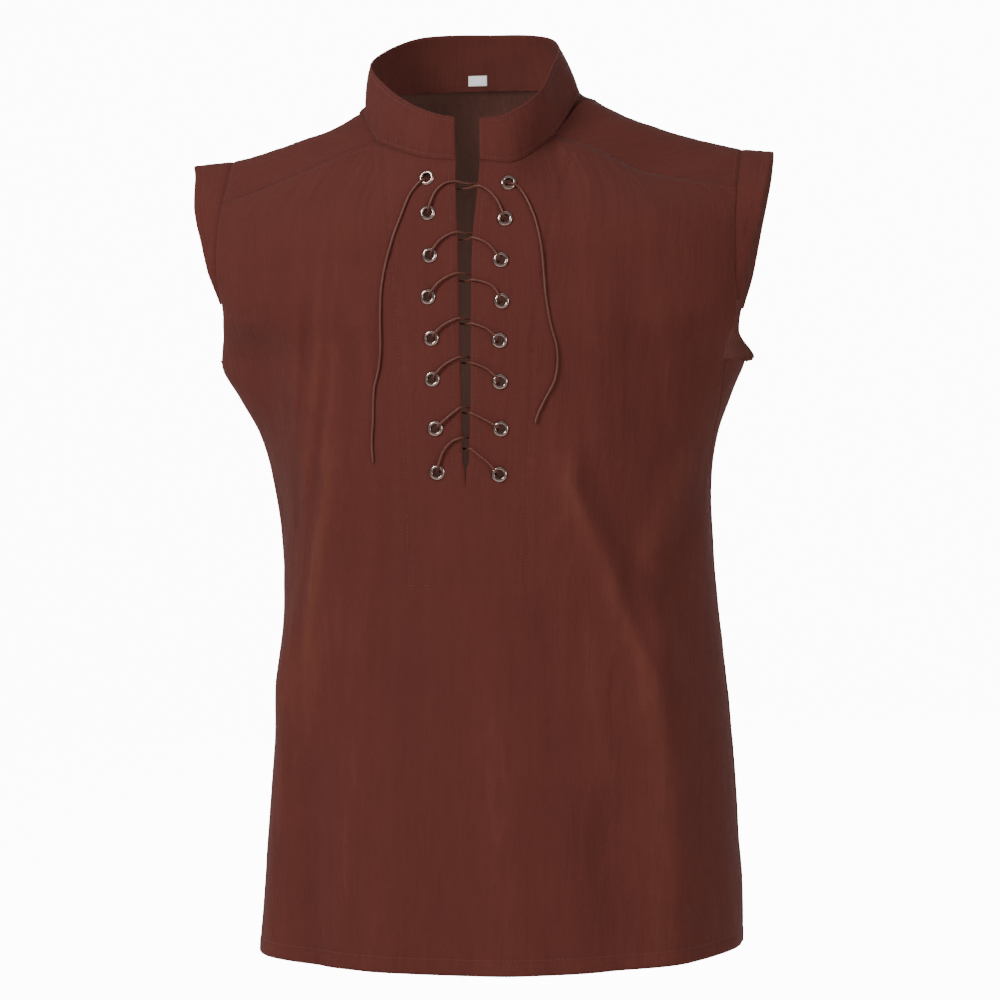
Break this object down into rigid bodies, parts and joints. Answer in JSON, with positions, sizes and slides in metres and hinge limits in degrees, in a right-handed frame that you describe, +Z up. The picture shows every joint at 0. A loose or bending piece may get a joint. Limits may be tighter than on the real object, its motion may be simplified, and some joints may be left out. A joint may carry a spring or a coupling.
{
  "type": "medieval lace-up vest",
  "caption": "Sleeveless pullover tunic of light crinkled cloth with a stand collar, short shoulder caps and a chest slit laced through metal eyelets",
  "frame": {"origin": "midway between the shoulders, at the height where the garment rests on them beside the neck", "axes": "+Z up; the front faces -Y; +X is to the viewer's right when looking at the front"},
  "size_m": [0.4779, 0.2743, 0.7612],
  "materials": {
    "cloth": "light crinkled cotton, matt, rust brown",
    "label_tape": "smooth woven tape, white",
    "eyelet_metal": "bright plated, rolled edge",
    "lace_cord": "thin round cord, brown"
  },
  "bodies": {
    "root": {"front": "cloth", "back": "cloth", "collar": "cloth", "cap_left": "cloth", "cap_right": "cloth", "size_label": "label_tape", "eyelet_left_1": "eyelet_metal", "eyelet_right_1": "eyelet_metal", "eyelet_left_2": "eyelet_metal", "eyelet_right_2": "eyelet_metal", "eyelet_left_3": "eyelet_metal", "eyelet_right_3": "eyelet_metal", "eyelet_left_4": "eyelet_metal", "eyelet_right_4": "eyelet_metal", "eyelet_left_5": "eyelet_metal", "eyelet_right_5": "eyelet_metal", "eyelet_left_6": "eyelet_metal", "eyelet_right_6": "eyelet_metal", "eyelet_left_7": "eyelet_metal", "eyelet_right_7": "eyelet_metal", "eyelet_left_8": "eyelet_metal", "eyelet_right_8": "eyelet_metal", "lace_half_1": "lace_cord", "lace_half_2": "lace_cord", "lace_tail_left": "lace_cord", "lace_tail_right": "lace_cord"}
  },
  "joints": []
}
